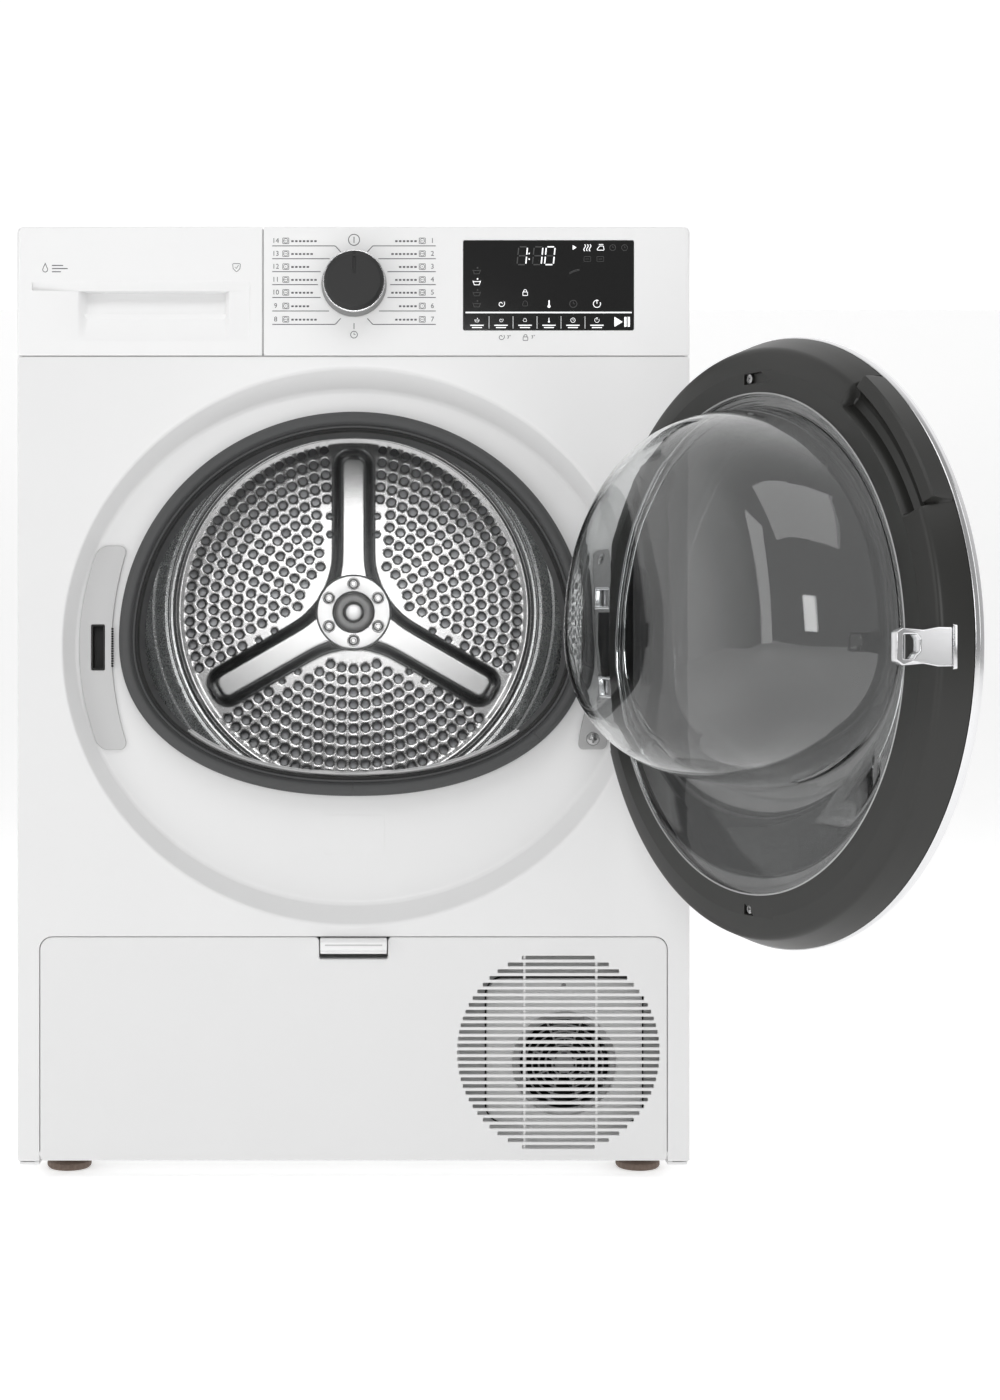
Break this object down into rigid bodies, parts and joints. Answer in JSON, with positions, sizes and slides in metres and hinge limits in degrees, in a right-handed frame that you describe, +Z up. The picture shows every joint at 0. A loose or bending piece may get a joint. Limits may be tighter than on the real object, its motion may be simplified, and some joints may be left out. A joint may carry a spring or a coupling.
{
  "type": "clothes dryer",
  "caption": "Front-loading heat pump clothes dryer with a round glass-bowl door standing open, perforated steel drum, drawer tank, rotary selector and kick plate.",
  "frame": {"origin": "centre of the base tray underside", "axes": "+X to the right seen from the front, -Y towards the user, +Z up"},
  "size_m": [0.7354, 0.9903, 0.846],
  "materials": {
    "white_paint": "satin",
    "white_plastic": "satin",
    "filter_mesh": "matt",
    "light_grey_plastic": "matt",
    "grey_paint": "satin",
    "dark_rubber": "matt",
    "black_plastic": "matt",
    "black_gloss": "gloss",
    "stainless_steel": "brushed",
    "zinc_steel": "satin",
    "chrome": "polished",
    "clear_bowl": "clear",
    "motor_casing": "satin",
    "compressor_paint": "satin",
    "board_green": "matt",
    "aluminium": "satin"
  },
  "bodies": {
    "root": {"base_tray": "white_plastic", "left_side_panel": "white_paint", "right_side_panel": "white_paint", "back_panel": "white_paint", "worktop": "white_paint", "front_panel": "white_paint", "control_fascia": "white_plastic", "display_window": "black_gloss", "control_board": "board_green", "latch_cover": "light_grey_plastic", "door_lock": "black_plastic", "hinge_plate": "grey_paint", "hinge_screw_upper": "zinc_steel", "hinge_screw_lower": "zinc_steel", "door_seal": "dark_rubber", "front_bulkhead": "zinc_steel", "rear_bulkhead": "zinc_steel", "drum_bearing": "black_plastic", "motor": "motor_casing", "fan_scroll": "light_grey_plastic", "drive_belt": "dark_rubber", "compressor": "compressor_paint", "heat_exchanger": "aluminium", "exchanger_cover": "white_plastic", "fan_guard": "white_plastic", "service_front": "white_plastic", "mains_inlet": "black_plastic"},
    "door": {"door_rim": "chrome", "door_outer_panel": "black_gloss", "door_inner_frame": "black_plastic", "door_bowl": "clear_bowl", "door_latch_hook": "chrome", "hinge_bracket": "zinc_steel", "hinge_pin": "zinc_steel"},
    "drum": {"drum_shell": "stainless_steel", "drum_back_plate": "stainless_steel", "drum_hub": "aluminium", "drum_paddle_1": "light_grey_plastic", "drum_paddle_2": "light_grey_plastic", "drum_paddle_3": "light_grey_plastic"},
    "rotor": {"motor_shaft": "zinc_steel", "process_fan": "black_plastic"},
    "idler_arm": {"idler_arm": "zinc_steel"},
    "idler_pulley": {"idler_pulley": "black_plastic"},
    "roller_left": {"support_roller_left": "dark_rubber"},
    "roller_right": {"support_roller_right": "dark_rubber"},
    "cooling_fan": {"cooling_fan": "black_plastic"},
    "knob": {"selector_knob": "black_plastic"},
    "tank_drawer": {"tank_front": "white_plastic", "water_tank": "light_grey_plastic"},
    "kick_plate": {"kick_plate": "white_plastic"},
    "kick_latch": {"kick_plate_latch": "white_plastic"},
    "lint_filter": {"lint_filter": "filter_mesh"},
    "lever_left": {"cover_lever_left": "black_plastic"},
    "lever_right": {"cover_lever_right": "black_plastic"},
    "foot_front_left": {"foot_front_left": "black_plastic"},
    "foot_front_right": {"foot_front_right": "black_plastic"},
    "foot_rear_left": {"foot_rear_left": "black_plastic"},
    "foot_rear_right": {"foot_rear_right": "black_plastic"},
    "door_catch": {"door_catch": "zinc_steel"}
  },
  "joints": [
    {"name": "door_hinge", "type": "hinge", "parent": "root", "child": "door", "pos_m": [0.2286, -0.2837, 0.4627], "axis": [0, 0, 1], "range_deg": [-114.4, 25.6]},
    {"name": "drum_spin", "type": "hinge", "parent": "root", "child": "drum", "pos_m": [0, 0.2, 0.4995], "axis": [0, 1, 0], "continuous": true},
    {"name": "motor_spin", "type": "hinge", "parent": "root", "child": "rotor", "pos_m": [-0.205, 0.1, 0.105], "axis": [0, 1, 0], "continuous": true},
    {"name": "idler_arm_swing", "type": "hinge", "parent": "root", "child": "idler_arm", "pos_m": [-0.065, 0.167, 0.052], "axis": [0, 1, 0], "range_deg": [0, 6], "stiffness_Nm_per_rad": 1, "springref_deg": -17.19},
    {"name": "idler_spin", "type": "hinge", "parent": "idler_arm", "child": "idler_pulley", "pos_m": [-0.12, 0.155, 0.09], "axis": [0, 1, 0], "continuous": true},
    {"name": "roller_left_spin", "type": "hinge", "parent": "root", "child": "roller_left", "pos_m": [-0.19418, -0.17, 0.25096], "axis": [0, 1, 0], "continuous": true},
    {"name": "roller_right_spin", "type": "hinge", "parent": "root", "child": "roller_right", "pos_m": [0.19418, -0.17, 0.25096], "axis": [0, 1, 0], "continuous": true},
    {"name": "cooling_fan_spin", "type": "hinge", "parent": "root", "child": "cooling_fan", "pos_m": [0.1889, -0.2305, 0.0866], "axis": [0, 1, 0], "continuous": true},
    {"name": "knob_turn", "type": "hinge", "parent": "root", "child": "knob", "pos_m": [0.0004, -0.265, 0.7826], "axis": [0, -1, 0], "continuous": true},
    {"name": "tank_slide", "type": "slide", "parent": "root", "child": "tank_drawer", "axis": [0, -1, 0], "range_m": [0, 0.42]},
    {"name": "kick_plate_tilt", "type": "hinge", "parent": "root", "child": "kick_plate", "pos_m": [0, -0.2625, 0.0105], "axis": [1, 0, 0], "range_deg": [0, 90]},
    {"name": "kick_latch_press", "type": "slide", "parent": "kick_plate", "child": "kick_latch", "axis": [0, 0, -1], "range_m": [0, 0.004], "stiffness_N_per_m": 300, "springref_m": -0.004},
    {"name": "lint_filter_lift", "type": "slide", "parent": "root", "child": "lint_filter", "axis": [0, 0, 1], "range_m": [0, 0.12]},
    {"name": "lever_left_turn", "type": "hinge", "parent": "root", "child": "lever_left", "pos_m": [-0.238, -0.2439, 0.114], "axis": [0, 1, 0], "range_deg": [0, 90]},
    {"name": "lever_right_turn", "type": "hinge", "parent": "root", "child": "lever_right", "pos_m": [0.071, -0.2439, 0.114], "axis": [0, 1, 0], "range_deg": [-90, 0]},
    {"name": "foot_front_left_screw", "type": "slide", "parent": "root", "child": "foot_front_left", "axis": [0, 0, -1], "range_m": [0, 0.015]},
    {"name": "foot_front_right_screw", "type": "slide", "parent": "root", "child": "foot_front_right", "axis": [0, 0, -1], "range_m": [0, 0.015]},
    {"name": "foot_rear_left_screw", "type": "slide", "parent": "root", "child": "foot_rear_left", "axis": [0, 0, -1], "range_m": [0, 0.015]},
    {"name": "foot_rear_right_screw", "type": "slide", "parent": "root", "child": "foot_rear_right", "axis": [0, 0, -1], "range_m": [0, 0.015]},
    {"name": "door_catch_slide", "type": "slide", "parent": "root", "child": "door_catch", "axis": [1, 0, 0], "range_m": [0, 0.003], "stiffness_N_per_m": 500, "springref_m": -0.003}
  ],
  "couplings": [
    {"joint": "motor_spin", "follows": "drum_spin", "ratio": 34.756},
    {"joint": "roller_left_spin", "follows": "drum_spin", "ratio": -9.5},
    {"joint": "roller_right_spin", "follows": "drum_spin", "ratio": -9.5}
  ]
}
